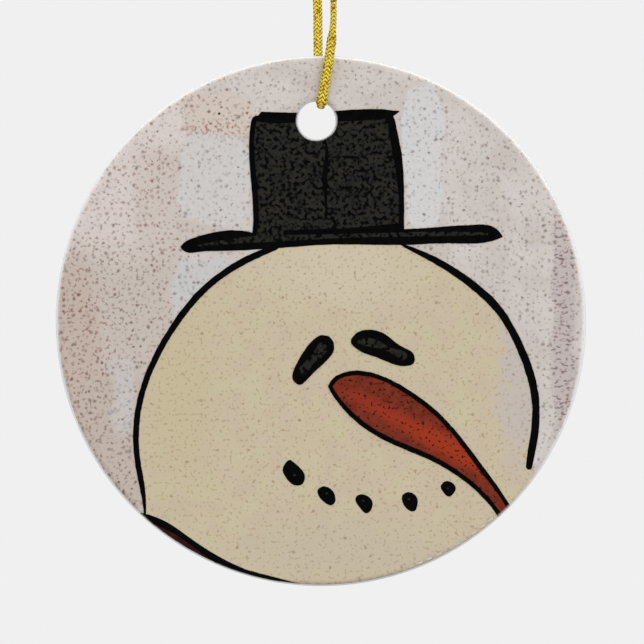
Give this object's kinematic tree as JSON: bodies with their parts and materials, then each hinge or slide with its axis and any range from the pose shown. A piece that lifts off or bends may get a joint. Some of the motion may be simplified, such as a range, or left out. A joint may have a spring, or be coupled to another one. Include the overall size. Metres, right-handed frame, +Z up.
{
  "type": "round hanging ornament",
  "caption": "Flat round ceramic hanging ornament with a printed snowman's head on its face, hung from a knotted loop of thin gold braided cord.",
  "frame": {"origin": "the hang point, at the underside of the cord's knot between its two strands", "axes": "+Z up along the hanging cord, -Y out of the printed face, +X to the right of someone looking at the print"},
  "size_m": [0.073, 0.007, 0.1247],
  "materials": {
    "white_glaze": "gloss",
    "wash_ink": "gloss",
    "cream_ink": "gloss",
    "dark_red_ink": "gloss",
    "charcoal_ink": "gloss",
    "red_ink": "gloss",
    "black_ink": "gloss",
    "gold_braid": "metallic thread"
  },
  "bodies": {
    "hanger": {"cord_knot": "gold_braid", "cord_tails": "gold_braid"},
    "strands": {"cord_strands": "gold_braid"},
    "ornament": {"ceramic_disc": "white_glaze", "background_print": "wash_ink", "head_print": "cream_ink", "scarf_print": "dark_red_ink", "hat_crown_print": "charcoal_ink", "hat_brim_print": "charcoal_ink", "eyes_print": "charcoal_ink", "nose_print": "red_ink", "mouth_print": "black_ink", "head_line_left_print": "black_ink", "head_line_right_print": "black_ink", "hat_crown_lines_print": "black_ink", "hat_brim_lines_print": "black_ink", "eye_lines_print": "black_ink", "nose_lines_print": "black_ink", "scarf_line_print": "black_ink"}
  },
  "joints": [
    {"name": "cord_twist", "type": "hinge", "parent": "hanger", "child": "strands", "pos_m": [0, 0, 0], "axis": [0, 0, 1], "range_deg": [-170, 170]},
    {"name": "disc_swing", "type": "hinge", "parent": "strands", "child": "ornament", "pos_m": [0, 0, -0.046], "axis": [0, 1, 0], "range_deg": [-60, 60]}
  ]
}
